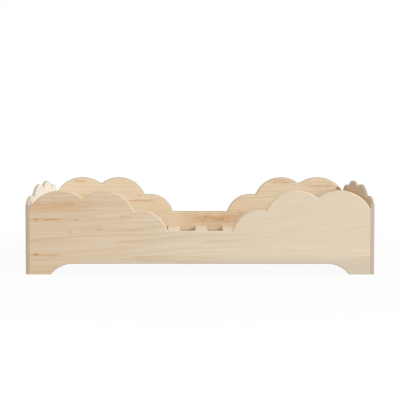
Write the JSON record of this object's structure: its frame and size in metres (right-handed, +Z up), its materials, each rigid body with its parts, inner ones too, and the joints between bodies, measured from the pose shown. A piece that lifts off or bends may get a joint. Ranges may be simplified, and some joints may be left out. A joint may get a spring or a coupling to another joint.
{
  "type": "kids bed",
  "caption": "Low pine floor bed for a small child, with cloud-shaped side and end boards, a low entry in the middle of both sides and a slatted base for a mattress.",
  "frame": {"origin": "on the floor, under the middle of the bed", "axes": "+X along the bed's length, towards the foot end; +Y from the front side to the back side; +Z up"},
  "size_m": [1.448, 0.748, 0.353],
  "materials": {
    "pine_board": "sanded, clear matt",
    "pine_rail": "planed, bare",
    "pine_slat": "planed, bare",
    "beech_dowel": "fluted, bare",
    "zinc_plated_steel": "bright zinc"
  },
  "bodies": {
    "root": {"front_side_board": "pine_board", "back_side_board": "pine_board", "head_end_board": "pine_board", "foot_end_board": "pine_board", "front_slat_rail": "pine_rail", "back_slat_rail": "pine_rail", "slat_01": "pine_slat", "slat_02": "pine_slat", "slat_03": "pine_slat", "slat_04": "pine_slat", "slat_05": "pine_slat", "slat_06": "pine_slat", "slat_07": "pine_slat", "slat_08": "pine_slat", "slat_09": "pine_slat", "slat_10": "pine_slat", "slat_11": "pine_slat", "corner_bolts": "zinc_plated_steel", "cross_nuts": "zinc_plated_steel", "rail_screws": "zinc_plated_steel", "slat_screws": "zinc_plated_steel", "corner_dowels": "beech_dowel"}
  },
  "joints": []
}
